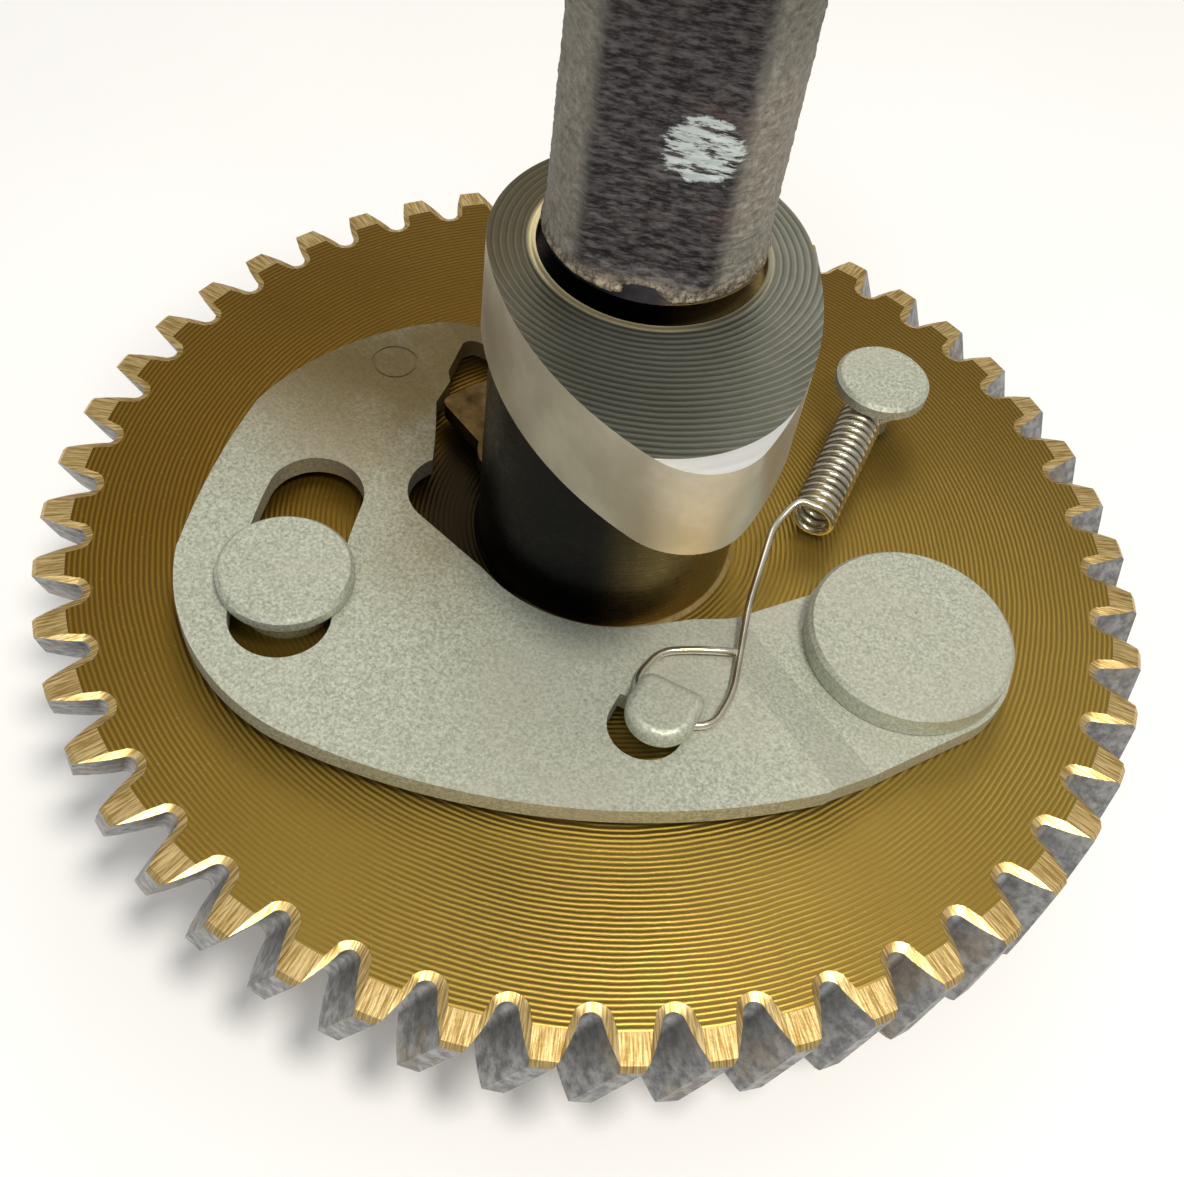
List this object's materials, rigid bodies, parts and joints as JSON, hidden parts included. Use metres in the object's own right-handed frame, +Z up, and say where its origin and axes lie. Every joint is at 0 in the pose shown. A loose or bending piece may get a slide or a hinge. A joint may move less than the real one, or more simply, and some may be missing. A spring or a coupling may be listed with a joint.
{
  "type": "camshaft with helical timing gear and compression release",
  "caption": "Small-engine camshaft: helical timing gear, two cam lobes and a spring-held centrifugal compression release on the gear face.",
  "frame": {"origin": "on the shaft axis, in the gear face that carries the flyweight", "axes": "+Z up the shaft from the gear to the cams, +X from the shaft axis to the flyweight's pivot pin"},
  "size_m": [0.0962, 0.0962, 0.114],
  "materials": {
    "cast_iron": "rough as-cast between the cams, turned on hub and journals",
    "ground_steel": "ground flanks, turned end faces",
    "gear_metal": "turned face with warm oil film, grey hobbed flanks",
    "key_steel": "drawn key stock",
    "sintered_grey": "matt sparkly grey",
    "rivet_steel": "matt grey, rolled edge",
    "pin_steel": "ground",
    "lever_steel": "stamped, oiled",
    "spring_wire": "bright drawn wire"
  },
  "bodies": {
    "camshaft": {"camshaft_core": "cast_iron", "exhaust_cam": "ground_steel", "intake_cam": "ground_steel", "cam_gear": "gear_metal", "gear_key": "key_steel", "pivot_pin": "rivet_steel", "guide_pin": "rivet_steel", "spring_post": "rivet_steel", "return_spring": "spring_wire"},
    "flyweight": {"flyweight": "sintered_grey"},
    "release": {"release_pin": "pin_steel", "release_lever": "lever_steel"}
  },
  "joints": [
    {"name": "flyweight_swing", "type": "hinge", "parent": "camshaft", "child": "flyweight", "pos_m": [0.0279, 0, 0.002], "axis": [0, 0, 1], "range_deg": [0, 10], "stiffness_Nm_per_rad": 0.02, "springref_deg": -6.88, "deforming": ["return_spring"]},
    {"name": "release_turn", "type": "hinge", "parent": "camshaft", "child": "release", "pos_m": [-0.00982, 0.00191, 0.01], "axis": [0, 0, 1], "range_deg": [0, 55]}
  ],
  "couplings": [
    {"joint": "release_turn", "follows": "flyweight_swing", "ratio": 5.5}
  ]
}
